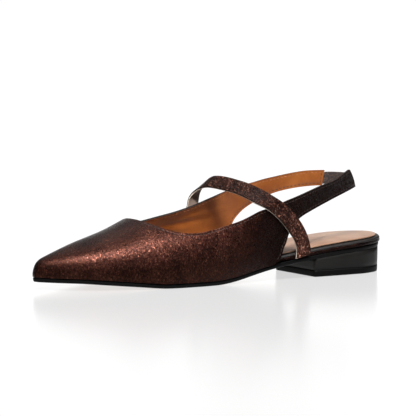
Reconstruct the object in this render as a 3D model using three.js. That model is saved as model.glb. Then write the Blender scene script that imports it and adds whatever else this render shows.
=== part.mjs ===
import * as THREE from "three";

// Named sizes of the left shoe, in millimetres. X runs to the toe, Y to the outer side, Z up.
const LENGTH = 266;
const BALL_WIDTH = 76;
const HEEL_HEIGHT = 17;
const INSTEP_HEIGHT = 41;
const UPPER_WALL = 1.6;
const STRAP_WALL = 1.5;
const ELASTIC_WALL = 1.2;
const SOLE_THICKNESS = 2.8;
const INSOLE_EDGE = 4.4;
const INSOLE_FORE = 2.4;
const SOCK_THICKNESS = 1.8;
const TOP_PIECE = 4.6;
const GAP = 0.3;

// Where the heel of the last ends, the heel's front face stands and the throat begins, as shares
// of LENGTH.
const SHARES = { lastBack: 0.063, breast: 0.252, throat: 0.7305 };

// Sole outline: half-widths either side of the heel's axis, as shares of BALL_WIDTH.
const OUTLINE = [
  { at: 0, lateral: 0, medial: 0 },
  { at: 0.02, lateral: 0.197, medial: 0.193 },
  { at: 0.055, lateral: 0.308, medial: 0.302 },
  { at: 0.11, lateral: 0.37, medial: 0.358 },
  { at: 0.2, lateral: 0.38, medial: 0.352 },
  { at: 0.3, lateral: 0.378, medial: 0.32 },
  { at: 0.38, lateral: 0.392, medial: 0.308 },
  { at: 0.46, lateral: 0.427, medial: 0.345 },
  { at: 0.54, lateral: 0.462, medial: 0.415 },
  { at: 0.61, lateral: 0.479, medial: 0.474 },
  { at: 0.66, lateral: 0.477, medial: 0.503 },
  { at: 0.71, lateral: 0.456, medial: 0.5 },
  { at: 0.77, lateral: 0.406, medial: 0.458 },
  { at: 0.83, lateral: 0.33, medial: 0.393 },
  { at: 0.89, lateral: 0.228, medial: 0.306 },
  { at: 0.94, lateral: 0.13, medial: 0.224 },
  { at: 0.975, lateral: 0.045, medial: 0.15 },
  { at: 1, lateral: -0.055, medial: 0.055 },
];

// Underside of the sole above the floor, as a share of HEEL_HEIGHT: seat, arch, tread, toe spring.
const PROFILE = [
  { at: 0, rise: 1.08 },
  { at: 0.1, rise: 0.96 },
  { at: 0.2, rise: 0.83 },
  { at: 0.27, rise: 0.7 },
  { at: 0.33, rise: 0.58 },
  { at: 0.4, rise: 0.41 },
  { at: 0.45, rise: 0.26 },
  { at: 0.5, rise: 0.1 },
  { at: 0.56, rise: 0 },
  { at: 0.69, rise: 0 },
  { at: 0.77, rise: 0.1 },
  { at: 0.84, rise: 0.19 },
  { at: 0.91, rise: 0.27 },
  { at: 1, rise: 0.34 },
];

// Sections of the last. crown: ridge above the feather line, share of INSTEP_HEIGHT. belly: height
// of the widest line, share of the crown. Swell: overhang past the sole, share of BALL_WIDTH.
// Full: exponent of the rounded top on that side.
const LAST = [
  { at: 0, crown: 2.1, belly: 0.14, swellOut: 0, swellIn: 0, fullOut: 2.6, fullIn: 2.6 },
  { at: 0.3, crown: 2.1, belly: 0.14, swellOut: 0, swellIn: 0.03, fullOut: 2.6, fullIn: 2.6 },
  { at: 0.34, crown: 2.08, belly: 0.15, swellOut: 0.006, swellIn: 0.06, fullOut: 2.6, fullIn: 2.6 },
  { at: 0.376, crown: 1.95, belly: 0.16, swellOut: 0.022, swellIn: 0.085, fullOut: 2.6, fullIn: 2.7 },
  { at: 0.406, crown: 1.78, belly: 0.18, swellOut: 0.028, swellIn: 0.09, fullOut: 2.6, fullIn: 2.8 },
  { at: 0.432, crown: 1.62, belly: 0.2, swellOut: 0.03, swellIn: 0.085, fullOut: 2.6, fullIn: 2.9 },
  { at: 0.46, crown: 1.47, belly: 0.21, swellOut: 0.03, swellIn: 0.075, fullOut: 2.5, fullIn: 3 },
  { at: 0.49, crown: 1.37, belly: 0.22, swellOut: 0.028, swellIn: 0.06, fullOut: 2.4, fullIn: 3 },
  { at: 0.545, crown: 1.27, belly: 0.23, swellOut: 0.024, swellIn: 0.04, fullOut: 2.25, fullIn: 2.95 },
  { at: 0.6, crown: 1.19, belly: 0.24, swellOut: 0.02, swellIn: 0.025, fullOut: 2.15, fullIn: 2.7 },
  { at: 0.677, crown: 1.08, belly: 0.24, swellOut: 0.02, swellIn: 0.02, fullOut: 2.05, fullIn: 2.3 },
  { at: 0.729, crown: 0.985, belly: 0.24, swellOut: 0.02, swellIn: 0.02, fullOut: 2, fullIn: 2.1 },
  { at: 0.771, crown: 0.845, belly: 0.25, swellOut: 0.02, swellIn: 0.02, fullOut: 2, fullIn: 2 },
  { at: 0.808, crown: 0.738, belly: 0.26, swellOut: 0.02, swellIn: 0.02, fullOut: 2, fullIn: 2 },
  { at: 0.868, crown: 0.59, belly: 0.28, swellOut: 0.018, swellIn: 0.018, fullOut: 2, fullIn: 2 },
  { at: 0.921, crown: 0.45, belly: 0.3, swellOut: 0.015, swellIn: 0.015, fullOut: 2, fullIn: 2 },
  { at: 0.955, crown: 0.36, belly: 0.32, swellOut: 0.012, swellIn: 0.012, fullOut: 2, fullIn: 2 },
  { at: 0.984, crown: 0.27, belly: 0.34, swellOut: 0.008, swellIn: 0.008, fullOut: 2, fullIn: 2 },
  { at: 1, crown: 0, belly: 0.35, swellOut: 0, swellIn: 0, fullOut: 2, fullIn: 2 },
];

// Plan of the last at the height of the sling, as shares of BALL_WIDTH.
const ANKLE = [
  { at: 0.063, lateral: 0, medial: 0 },
  { at: 0.068, lateral: 0.055, medial: 0.15 },
  { at: 0.083, lateral: 0.096, medial: 0.225 },
  { at: 0.111, lateral: 0.142, medial: 0.282 },
  { at: 0.162, lateral: 0.207, medial: 0.333 },
  { at: 0.21, lateral: 0.258, medial: 0.363 },
  { at: 0.267, lateral: 0.315, medial: 0.392 },
  { at: 0.32, lateral: 0.361, medial: 0.408 },
  { at: 0.36, lateral: 0.388, medial: 0.414 },
  { at: 0.41, lateral: 0.412, medial: 0.42 },
  { at: 0.5, lateral: 0.44, medial: 0.44 },
  { at: 1, lateral: 0.44, medial: 0.44 },
];

// Edges of each quarter from the throat back to the end of its sling strap. at is a share of LENGTH
// and girth runs 0 on the ridge, 1 at the widest line, 2 at the feather.
const LATERAL_QUARTER = [
  { topAt: 0.7183, topGirth: 0.252, lowAt: 0.7183, lowGirth: 2 },
  { topAt: 0.7048, topGirth: 0.357, lowAt: 0.7048, lowGirth: 2 },
  { topAt: 0.691, topGirth: 0.444, lowAt: 0.691, lowGirth: 2 },
  { topAt: 0.6697, topGirth: 0.532, lowAt: 0.6697, lowGirth: 2 },
  { topAt: 0.6466, topGirth: 0.587, lowAt: 0.6466, lowGirth: 2 },
  { topAt: 0.6211, topGirth: 0.621, lowAt: 0.6211, lowGirth: 2 },
  { topAt: 0.5918, topGirth: 0.639, lowAt: 0.5918, lowGirth: 2 },
  { topAt: 0.5469, topGirth: 0.638, lowAt: 0.5469, lowGirth: 2 },
  { topAt: 0.4871, topGirth: 0.676, lowAt: 0.4871, lowGirth: 2 },
  { topAt: 0.43, topGirth: 0.745, lowAt: 0.41, lowGirth: 2 },
  { topAt: 0.4068, topGirth: 0.779, lowAt: 0.392, lowGirth: 2 },
  { topAt: 0.379, topGirth: 0.797, lowAt: 0.3697, lowGirth: 1.846 },
  { topAt: 0.365, topGirth: 0.805, lowAt: 0.3584, lowGirth: 1.461 },
  { topAt: 0.3522, topGirth: 0.812, lowAt: 0.3438, lowGirth: 1 },
  { topAt: 0.3365, topGirth: 0.81, lowAt: 0.3335, lowGirth: 0.972 },
  { topAt: 0.31, topGirth: 0.803, lowAt: 0.302, lowGirth: 0.924 },
  { topAt: 0.2701, topGirth: 0.79, lowAt: 0.2703, lowGirth: 0.906 },
  { topAt: 0.2108, topGirth: 0.77, lowAt: 0.222, lowGirth: 0.887 },
  { topAt: 0.1632, topGirth: 0.758, lowAt: 0.1625, lowGirth: 0.862 },
  { topAt: 0.13, topGirth: 0.7285, lowAt: 0.1114, lowGirth: 0.842 },
  { topAt: 0.115, topGirth: 0.7155, lowAt: 0.093, lowGirth: 0.834 },
  { topAt: 0.1065, topGirth: 0.707, lowAt: 0.0795, lowGirth: 0.828 },
  { topAt: 0.103, topGirth: 0.704, lowAt: 0.0745, lowGirth: 0.8265 },
];
const MEDIAL_QUARTER = [
  { topAt: 0.7195, topGirth: 0.25, lowAt: 0.7195, lowGirth: 2 },
  { topAt: 0.707, topGirth: 0.35, lowAt: 0.707, lowGirth: 2 },
  { topAt: 0.6935, topGirth: 0.425, lowAt: 0.6935, lowGirth: 2 },
  { topAt: 0.6735, topGirth: 0.495, lowAt: 0.6735, lowGirth: 2 },
  { topAt: 0.652, topGirth: 0.54, lowAt: 0.652, lowGirth: 2 },
  { topAt: 0.6387, topGirth: 0.556, lowAt: 0.6387, lowGirth: 2 },
  { topAt: 0.6071, topGirth: 0.56, lowAt: 0.6071, lowGirth: 2 },
  { topAt: 0.5683, topGirth: 0.566, lowAt: 0.5683, lowGirth: 2 },
  { topAt: 0.5265, topGirth: 0.574, lowAt: 0.5265, lowGirth: 2 },
  { topAt: 0.4825, topGirth: 0.6, lowAt: 0.478, lowGirth: 2 },
  { topAt: 0.4357, topGirth: 0.677, lowAt: 0.428, lowGirth: 2 },
  { topAt: 0.41, topGirth: 0.71, lowAt: 0.404, lowGirth: 1.97 },
  { topAt: 0.398, topGirth: 0.722, lowAt: 0.393, lowGirth: 1.5 },
  { topAt: 0.3868, topGirth: 0.735, lowAt: 0.3835, lowGirth: 1.07 },
  { topAt: 0.374, topGirth: 0.742, lowAt: 0.3761, lowGirth: 0.956 },
  { topAt: 0.358, topGirth: 0.746, lowAt: 0.3538, lowGirth: 0.916 },
  { topAt: 0.3189, topGirth: 0.746, lowAt: 0.3286, lowGirth: 0.885 },
  { topAt: 0.2798, topGirth: 0.734, lowAt: 0.28, lowGirth: 0.847 },
  { topAt: 0.244, topGirth: 0.728, lowAt: 0.2319, lowGirth: 0.827 },
  { topAt: 0.1693, topGirth: 0.716, lowAt: 0.1691, lowGirth: 0.82 },
  { topAt: 0.135, topGirth: 0.72, lowAt: 0.137, lowGirth: 0.822 },
  { topAt: 0.115, topGirth: 0.724, lowAt: 0.12, lowGirth: 0.824 },
  { topAt: 0.1069, topGirth: 0.725, lowAt: 0.1137, lowGirth: 0.826 },
];

// Outer face of the instep strap, from the medial feather over the instep to the lateral rim: front
// and rear edges as shares of LENGTH, BALL_WIDTH and, above the feather line, INSTEP_HEIGHT.
const STRAP = [
  { frontAt: 0.551, frontOut: -0.395, frontRise: 0.128, rearAt: 0.511, rearOut: -0.395, rearRise: 0.113 },
  { frontAt: 0.534, frontOut: -0.408, frontRise: 0.402, rearAt: 0.494, rearOut: -0.408, rearRise: 0.414 },
  { frontAt: 0.515, frontOut: -0.434, frontRise: 0.775, rearAt: 0.477, rearOut: -0.434, rearRise: 0.794 },
  { frontAt: 0.498, frontOut: -0.466, frontRise: 1.030, rearAt: 0.465, rearOut: -0.463, rearRise: 1.047 },
  { frontAt: 0.494, frontOut: -0.463, frontRise: 1.153, rearAt: 0.462, rearOut: -0.461, rearRise: 1.192 },
  { frontAt: 0.488, frontOut: -0.434, frontRise: 1.246, rearAt: 0.458, rearOut: -0.428, rearRise: 1.315 },
  { frontAt: 0.480, frontOut: -0.368, frontRise: 1.315, rearAt: 0.453, rearOut: -0.368, rearRise: 1.414 },
  { frontAt: 0.474, frontOut: -0.289, frontRise: 1.344, rearAt: 0.450, rearOut: -0.296, rearRise: 1.476 },
  { frontAt: 0.469, frontOut: -0.204, frontRise: 1.338, rearAt: 0.445, rearOut: -0.217, rearRise: 1.490 },
  { frontAt: 0.458, frontOut: -0.092, frontRise: 1.300, rearAt: 0.431, rearOut: -0.112, rearRise: 1.453 },
  { frontAt: 0.448, frontOut: 0.030, frontRise: 1.256, rearAt: 0.420, rearOut: 0.000, rearRise: 1.402 },
  { frontAt: 0.4424, frontOut: 0.171, frontRise: 1.205, rearAt: 0.410, rearOut: 0.118, rearRise: 1.346 },
  { frontAt: 0.4394, frontOut: 0.3685, frontRise: 1.122, rearAt: 0.3963, rearOut: 0.251, rearRise: 1.247 },
  { frontAt: 0.4133, frontOut: 0.4447, frontRise: 0.979, rearAt: 0.3792, rearOut: 0.381, rearRise: 1.1135 },
  { frontAt: 0.390, frontOut: 0.438, frontRise: 0.841, rearAt: 0.3567, rearOut: 0.425, rearRise: 0.977 },
  { frontAt: 0.362, frontOut: 0.417, frontRise: 0.663, rearAt: 0.327, rearOut: 0.418, rearRise: 0.783 },
  { frontAt: 0.338, frontOut: 0.408, frontRise: 0.464, rearAt: 0.300, rearOut: 0.411, rearRise: 0.556 },
  { frontAt: 0.322, frontOut: 0.405, frontRise: 0.309, rearAt: 0.284, rearOut: 0.408, rearRise: 0.352 },
  { frontAt: 0.315, frontOut: 0.404, frontRise: 0.161, rearAt: 0.276, rearOut: 0.405, rearRise: 0.185 },
  { frontAt: 0.317, frontOut: 0.404, frontRise: 0.011, rearAt: 0.274, rearOut: 0.404, rearRise: 0.032 },
];

// Outer face of the elastic, from the end of the medial sling round the heel to the inside of the
// lateral one: upper and lower edges, the heights above the feather line in INSTEP_HEIGHT.
const ELASTIC = [
  { highAt: 0.1056, highOut: -0.269, high: 1.187, lowAt: 0.111, lowOut: -0.28, low: 0.98 },
  { highAt: 0.0975, highOut: -0.24, high: 1.187, lowAt: 0.1015, lowOut: -0.25, low: 0.979 },
  { highAt: 0.0885, highOut: -0.17, high: 1.187, lowAt: 0.0905, lowOut: -0.177, low: 0.978 },
  { highAt: 0.083, highOut: -0.08, high: 1.187, lowAt: 0.0835, lowOut: -0.083, low: 0.977 },
  { highAt: 0.0805, highOut: -0.005, high: 1.187, lowAt: 0.0805, lowOut: -0.005, low: 0.977 },
  { highAt: 0.0815, highOut: 0.032, high: 1.187, lowAt: 0.0815, lowOut: 0.032, low: 0.977 },
  { highAt: 0.0855, highOut: 0.064, high: 1.187, lowAt: 0.0855, lowOut: 0.064, low: 0.977 },
  { highAt: 0.0955, highOut: 0.088, high: 1.187, lowAt: 0.0955, lowOut: 0.088, low: 0.977 },
  { highAt: 0.108, highOut: 0.1085, high: 1.187, lowAt: 0.108, lowOut: 0.1085, low: 0.977 },
];

// Turn of a share of a span into an angle, so that round ends interpolate smoothly.
const turn = (share) => Math.acos(1 - 2 * Math.min(1, Math.max(0, share)));
const unturn = (angle) => (1 - Math.cos(angle)) / 2;
const mix = (a, b, t) => a + (b - a) * t;
const clamp = (v, lo, hi) => Math.min(hi, Math.max(lo, v));
const ease = (v) => {
  const t = clamp(v, 0, 1);
  return t * t * (3 - 2 * t);
};

// Monotone cubic through one column of a table, read by a share of the length.
function column(rows, key, start = 0) {
  const warp = (at) => turn((at - start) / (1 - start));
  const x = rows.map((row) => warp(row.at));
  const y = rows.map((row) => row[key]);
  const slope = x.slice(1).map((v, i) => (y[i + 1] - y[i]) / (v - x[i]));
  const tangent = x.map((_, i) => {
    if (i === 0) return slope[0];
    if (i === x.length - 1) return slope[i - 1];
    const [a, b] = [slope[i - 1], slope[i]];
    return a * b <= 0 ? 0 : (2 * a * b) / (a + b);
  });
  return (at) => {
    const v = clamp(warp(at), x[0], x[x.length - 1]);
    let i = 0;
    while (i < x.length - 2 && v > x[i + 1]) i += 1;
    const h = x[i + 1] - x[i];
    const t = (v - x[i]) / h;
    const [t2, t3] = [t * t, t * t * t];
    return (
      y[i] * (2 * t3 - 3 * t2 + 1) +
      tangent[i] * h * (t3 - 2 * t2 + t) +
      y[i + 1] * (3 * t2 - 2 * t3) +
      tangent[i + 1] * h * (t3 - t2)
    );
  };
}

const outline = {
  lateral: column(OUTLINE, "lateral"),
  medial: column(OUTLINE, "medial"),
};
const swell = {
  lateral: column(LAST, "swellOut"),
  medial: column(LAST, "swellIn"),
};
const ankle = {
  lateral: column(ANKLE, "lateral", SHARES.lastBack),
  medial: column(ANKLE, "medial", SHARES.lastBack),
};
const rise = column(PROFILE, "rise");
const crown = column(LAST, "crown");
const belly = column(LAST, "belly");
const fullness = {
  lateral: column(LAST, "fullOut"),
  medial: column(LAST, "fullIn"),
};
const SIGN = { lateral: 1, medial: -1 };

const underside = (x) => rise(x / LENGTH) * HEEL_HEIGHT;
const soleTop = (x) => underside(x) + SOLE_THICKNESS;
const feather = (x) => soleTop(x) + GAP;
const halfWidth = (side, x) => outline[side](x / LENGTH) * BALL_WIDTH;

// Heights on the last's section at x by girth: 0 on the ridge, 1 at the widest line, 2 at the feather.
function heightOf(side, x, girth) {
  const at = x / LENGTH;
  const top = crown(at) * INSTEP_HEIGHT;
  const wide = belly(at) * top;
  if (girth >= 1) return feather(x) + wide * (2 - girth);
  return feather(x) + wide + (top - wide) * Math.cos((girth * Math.PI) / 2) ** (2 / fullness[side](at));
}

function girthOf(side, x, z) {
  const at = x / LENGTH;
  const top = crown(at) * INSTEP_HEIGHT;
  const wide = belly(at) * top;
  const up = z - feather(x);
  if (up <= wide) return 2 - clamp(up / Math.max(wide, 1e-6), 0, 1);
  const share = clamp((up - wide) / (top - wide), 0, 1);
  return (Math.acos(share ** (fullness[side](at) / 2)) * 2) / Math.PI;
}

// The last's half-width at x and height z: rounded sections in front, the ankle's plan behind.
function reach(side, x, z) {
  const at = x / LENGTH;
  const edge = halfWidth(side, x);
  const widest = edge + swell[side](at) * BALL_WIDTH;
  const girth = girthOf(side, x, z);
  const bend = (girth * Math.PI) / 2;
  const ridge = middle(x) * SIGN[side];
  const section =
    girth >= 1
      ? widest - (widest - edge) * (girth - 1) ** 2
      : ridge + (widest - ridge) * Math.sin(bend) ** (2 / fullness[side](at));
  const blend = ease((0.43 - at) / 0.08);
  if (blend === 0) return section;
  const up = ease((z - feather(x)) / (0.8 * INSTEP_HEIGHT));
  return mix(section, mix(widest, ankle[side](at) * BALL_WIDTH, up), blend);
}

// Middle line of the sole in plan.
function middle(x) {
  return (halfWidth("lateral", x) - halfWidth("medial", x)) / 2;
}

function aboveFeather(at, out, rise) {
  const x = at * LENGTH;
  return new THREE.Vector3(x, out * BALL_WIDTH, feather(x) + rise * INSTEP_HEIGHT);
}

function onLast(side, x, girth) {
  const z = heightOf(side, x, girth);
  return new THREE.Vector3(x, SIGN[side] * reach(side, x, z), z);
}

// Plan point of the sole outline moved inward by an inset.
function edgePoint(side, x, inset) {
  const angle = turn(x / LENGTH);
  const at = (a) => {
    const share = unturn(clamp(a, 0, Math.PI));
    return [share * LENGTH, SIGN[side] * outline[side](share) * BALL_WIDTH];
  };
  const [x0, y0] = at(angle);
  if (angle < 1e-6) return [x0 + inset, y0];
  if (angle > Math.PI - 1e-6) return [x0 - inset, y0];
  const step = 0.01;
  const [xa, ya] = at(angle - step);
  const [xb, yb] = at(angle + step);
  const length = Math.hypot(xb - xa, yb - ya) || 1;
  return [
    x0 + (inset * SIGN[side] * (yb - ya)) / length,
    y0 - (inset * SIGN[side] * (xb - xa)) / length,
  ];
}

// Triangles gathered as corner points; thin ones whose corners meet are left out.
class Soup {
  constructor() {
    this.corners = [];
  }

  tri(a, b, c) {
    const meets = (p, q) => p.distanceToSquared(q) < 1e-10;
    if (meets(a, b) || meets(b, c) || meets(a, c)) return;
    this.corners.push(a, b, c);
  }

  quad(a, b, c, d) {
    this.tri(a, b, c);
    this.tri(a, c, d);
  }

  geometry() {
    const total = (v) => {
      let sum = 0;
      for (let i = 0; i < v.length; i += 3) sum += v[i].dot(v[i + 1].clone().cross(v[i + 2]));
      return sum;
    };
    const turned = total(this.corners) < 0;
    const out = [];
    for (let i = 0; i < this.corners.length; i += 3) {
      const [a, b, c] = this.corners.slice(i, i + 3);
      out.push(...(turned ? [a, c, b] : [a, b, c]));
    }
    const geometry = new THREE.BufferGeometry().setFromPoints(out);
    geometry.computeVertexNormals();
    return geometry;
  }
}

// A sheet with a wall: points and faces of its outer skin, thickened inward along the normals.
function thicken(points, faces, wall, level) {
  const normals = points.map(() => new THREE.Vector3());
  const used = new Map();
  for (const face of faces) {
    const [a, b, c] = face.map((i) => points[i]);
    const n = b.clone().sub(a).cross(c.clone().sub(a));
    face.forEach((i) => normals[i].add(n));
    for (let k = 0; k < 3; k += 1) used.set(`${face[k]}_${face[(k + 1) % 3]}`, [face[k], face[(k + 1) % 3]]);
  }
  normals.forEach((n, i) => {
    if (level.has(i)) n.z = 0;
    n.normalize();
  });
  const inner = points.map((p, i) => p.clone().addScaledVector(normals[i], -wall));
  const soup = new Soup();
  for (const [a, b, c] of faces) {
    soup.tri(points[a], points[b], points[c]);
    soup.tri(inner[a], inner[c], inner[b]);
  }
  for (const [a, b] of used.values()) {
    if (!used.has(`${b}_${a}`)) soup.quad(points[b], points[a], inner[a], inner[b]);
  }
  return soup.geometry();
}

// Smooth line through table points, sampled evenly between them.
function sampled(points, perSpan) {
  const line = new THREE.CatmullRomCurve3(points, false, "centripetal");
  const count = (points.length - 1) * perSpan;
  return Array.from({ length: count + 1 }, (_, i) => line.getPoint(i / count));
}

// Upper: one sheet over the last, full sections ahead of the throat and a wing down each side.
const FORE_ROWS = 20;
const HALF_COLUMNS = 10;
const ROWS_PER_SPAN = 2;
const LOWER_PACE = 0.4;
const pace = (girth) => (girth <= 1 ? girth : 1 + (girth - 1) * LOWER_PACE);
const unpace = (value) => (value <= 1 ? value : 1 + (value - 1) / LOWER_PACE);
const span = (at) => turn((at - SHARES.lastBack) / (1 - SHARES.lastBack));
const unspan = (angle) => mix(SHARES.lastBack, 1, unturn(angle)) * LENGTH;
const QUARTER = { lateral: LATERAL_QUARTER, medial: MEDIAL_QUARTER };

function topEdge() {
  const mark = (side) => (row) => new THREE.Vector3(span(row.topAt), SIGN[side] * row.topGirth, 0);
  const apex = new THREE.Vector3(span(SHARES.throat), 0, 0);
  const back = QUARTER.medial.map(mark("medial")).reverse();
  const whole = sampled([...back, apex, ...QUARTER.lateral.map(mark("lateral"))], ROWS_PER_SPAN);
  const middleRow = QUARTER.medial.length * ROWS_PER_SPAN;
  return { lateral: whole.slice(middleRow), medial: whole.slice(0, middleRow + 1).reverse() };
}

function lowEdge(side) {
  const start = new THREE.Vector3(span(SHARES.throat), 2, 0);
  const marks = QUARTER[side].map((row) => new THREE.Vector3(span(row.lowAt), row.lowGirth, 0));
  return sampled([start, ...marks], ROWS_PER_SPAN);
}

const tops = topEdge();
const topLine = (side) => tops[side].map((p) => onLast(side, unspan(p.x), Math.abs(p.y)));
const topLines = { lateral: topLine("lateral"), medial: topLine("medial") };

// Height of the upper's top edge above a place along the shoe.
function topHeight(side, x) {
  const line = topLines[side];
  const i = line.findIndex((p) => p.x < x);
  if (i < 1) return i === 0 ? line[0].z : line[line.length - 1].z;
  return mix(line[i].z, line[i - 1].z, (x - line[i].x) / (line[i - 1].x - line[i].x));
}

function makeUpper() {
  const points = [];
  const faces = [];
  const level = new Set();
  const put = (point, onFeather) => {
    points.push(point);
    if (onFeather) level.add(points.length - 1);
    return points.length - 1;
  };
  const apart = (i, j) => points[i].distanceTo(points[j]);
  const sew = (a, b) => {
    for (let c = 0; c + 1 < a.length; c += 1) {
      if (b[c] === b[c + 1]) faces.push([a[c], a[c + 1], b[c]]);
      else if (apart(a[c], b[c + 1]) < apart(a[c + 1], b[c])) {
        faces.push([a[c], a[c + 1], b[c + 1]], [a[c], b[c + 1], b[c]]);
      } else {
        faces.push([a[c], a[c + 1], b[c]], [a[c + 1], b[c + 1], b[c]]);
      }
    }
  };
  const apex = span(SHARES.throat);
  const tip = put(onLast("lateral", LENGTH, 2), true);
  let last = Array(2 * HALF_COLUMNS + 1).fill(tip);
  for (let i = 1; i <= FORE_ROWS; i += 1) {
    const x = unspan(mix(Math.PI, apex, (i / FORE_ROWS) ** 0.88));
    const row = last.map((_, c) => {
      const side = c <= HALF_COLUMNS ? "lateral" : "medial";
      const girth = unpace((Math.abs(c - HALF_COLUMNS) / HALF_COLUMNS) * pace(2));
      return put(onLast(side, x, girth), c === 0 || c === 2 * HALF_COLUMNS);
    });
    sew(row, last);
    last = row;
  }
  for (const side of ["lateral", "medial"]) {
    const low = lowEdge(side);
    let front = last.slice(...(side === "lateral" ? [0, HALF_COLUMNS + 1] : [HALF_COLUMNS]));
    if (side === "medial") front.reverse();
    for (let k = 1; k < low.length; k += 1) {
      const [lowGirth, topGirth] = [clamp(low[k].y, 0, 2), Math.abs(tops[side][k].y)];
      const row = front.map((_, c) => {
        const t = c / HALF_COLUMNS;
        const girth = unpace(mix(pace(lowGirth), pace(topGirth), t));
        const x = unspan(mix(low[k].x, tops[side][k].x, t));
        return put(onLast(side, x, girth), c === 0 && lowGirth > 1.9999);
      });
      if (side === "lateral") sew(row, front);
      else sew(front, row);
      front = row;
    }
  }
  return thicken(points, faces, UPPER_WALL, level);
}

// A ribbon between two edge lines of its outer face, the first edge on the right of its run.
function makeRibbon(front, rear, wall) {
  const points = [];
  const faces = [];
  front.forEach((p, i) => {
    points.push(p, rear[i]);
    if (i === 0) return;
    const n = 2 * i;
    faces.push([n - 2, n, n + 1], [n - 2, n + 1, n - 1]);
  });
  return thicken(points, faces, wall, new Set());
}

// The instep strap stands clear of the quarters where it passes outside them, and is let in again
// from two strap walls above their top edge.
function makeStrap() {
  const edge = (name) =>
    sampled(
      STRAP.map((row) => aboveFeather(row[`${name}At`], row[`${name}Out`], row[`${name}Rise`])),
      3,
    ).map((p) => {
      const side = p.y > 0 ? "lateral" : "medial";
      const above = (p.z - topHeight(side, p.x)) / STRAP_WALL;
      const short = reach(side, p.x, p.z) + 1.5 * GAP + STRAP_WALL - Math.abs(p.y);
      const push = Math.max(0, short) * ease((8 - 3 * above) / 5);
      return new THREE.Vector3(p.x, p.y + SIGN[side] * push, p.z);
    });
  return makeRibbon(edge("front"), edge("rear"), STRAP_WALL);
}

function makeElastic() {
  const edge = (name) =>
    sampled(
      ELASTIC.map((row) => aboveFeather(row[`${name}At`], row[`${name}Out`], row[name])),
      4,
    );
  return makeRibbon(edge("high"), edge("low"), ELASTIC_WALL);
}

// A slab in the sole's outline: rings of its side from the bottom up, closed by a floor and a top.
function makeSlab({ from, to, rows, columns, rings, dome = () => 0 }) {
  const [first, final] = [turn(from), turn(to)];
  const open = from < 0.999;
  const soup = new Soup();
  const sideRow = (ring, i) => {
    const x = unturn(mix(first, final, i / rows)) * LENGTH;
    const ends = ["lateral", "medial"].map((side) => {
      const [px, py] = edgePoint(side, x, ring.inset(x));
      const place = open && i === 0 ? x : px;
      return new THREE.Vector3(place, py, ring.z(place));
    });
    if (i === rows || (!open && i === 0)) ends[1].copy(ends[0]);
    return ends;
  };
  const rungs = rings.map((ring) => Array.from({ length: rows + 1 }, (_, i) => sideRow(ring, i)));
  const across = (pair, ring, c, lift) => {
    const t = c / columns;
    const p = pair[0].clone().lerp(pair[1], t);
    if (c > 0 && c < columns) p.z = ring.z(p.x) + lift * dome(p.x, 2 * t - 1);
    return p;
  };
  for (let r = 0; r + 1 < rings.length; r += 1) {
    for (let i = 0; i < rows; i += 1) {
      const [a, b] = [rungs[r], rungs[r + 1]];
      soup.quad(a[i][0], b[i][0], b[i + 1][0], a[i + 1][0]);
      soup.quad(a[i + 1][1], b[i + 1][1], b[i][1], a[i][1]);
    }
    if (!open) continue;
    for (let c = 0; c < columns; c += 1) {
      const corner = (k, d) => across(rungs[k][0], rings[k], d, 0);
      soup.quad(corner(r, c + 1), corner(r + 1, c + 1), corner(r + 1, c), corner(r, c));
    }
  }
  for (const [r, lift] of [[0, 0], [rings.length - 1, 1]]) {
    for (let i = 0; i < rows; i += 1) {
      const near = (d) => across(rungs[r][i], rings[r], d, i === 0 ? 0 : lift);
      const far = (d) => across(rungs[r][i + 1], rings[r], d, lift);
      for (let c = 0; c < columns; c += 1) {
        if (lift) soup.quad(near(c), near(c + 1), far(c + 1), far(c));
        else soup.quad(far(c), far(c + 1), near(c + 1), near(c));
      }
    }
  }
  return soup.geometry();
}

// The insole fills the sole's outline behind the quarters and narrows to stand inside the upper.
const insoleInset = (x) => (UPPER_WALL + 0.5) * ease((x / LENGTH - 0.318) / 0.036);
const insoleBase = (x) => soleTop(x) + GAP;
const insoleThickness = (x) => mix(INSOLE_EDGE, INSOLE_FORE, ease((x / LENGTH - 0.36) / 0.16));
const insoleTop = (x) => insoleBase(x) + insoleThickness(x);
const sockInset = (x) => insoleInset(x) + mix(3, 1, ease((x / LENGTH - 0.33) / 0.1));

// The outsole and the heel stand in from the insole's rim round the seat.
const seatTuck = (x) => 0.8 * ease(1.4 - (1.4 * x) / (SHARES.breast * LENGTH));

const makeOutsole = () =>
  makeSlab({
    from: 1,
    to: 0,
    rows: 58,
    columns: 4,
    rings: [
      { inset: (x) => seatTuck(x) + 0.9, z: underside },
      { inset: (x) => seatTuck(x) + 0.25, z: (x) => underside(x) + 0.3 * SOLE_THICKNESS },
      { inset: (x) => seatTuck(x) + 0.25, z: (x) => underside(x) + 0.85 * SOLE_THICKNESS },
      { inset: (x) => seatTuck(x) + 0.55, z: soleTop },
    ],
  });

const makeInsole = () =>
  makeSlab({
    from: 1,
    to: 0,
    rows: 40,
    columns: 4,
    rings: [
      { inset: (x) => insoleInset(x) + 0.5, z: insoleBase },
      { inset: insoleInset, z: (x) => insoleBase(x) + 0.2 * insoleThickness(x) },
      { inset: insoleInset, z: (x) => insoleBase(x) + 0.72 * insoleThickness(x) },
      { inset: (x) => insoleInset(x) + 1.1, z: insoleTop },
    ],
  });

const makeSock = () =>
  makeSlab({
    from: 1,
    to: 0,
    rows: 40,
    columns: 6,
    rings: [
      { inset: sockInset, z: (x) => insoleTop(x) + GAP },
      { inset: sockInset, z: (x) => insoleTop(x) + GAP + 0.35 * SOCK_THICKNESS },
      { inset: (x) => sockInset(x) + 1, z: (x) => insoleTop(x) + GAP + 0.55 * SOCK_THICKNESS },
    ],
    dome: (x, across) => {
      const ends = ease(4 * (1 - x / LENGTH)) * ease((5 * x) / LENGTH);
      return 0.45 * SOCK_THICKNESS * (1 - across ** 2) * ends;
    },
  });

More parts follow.
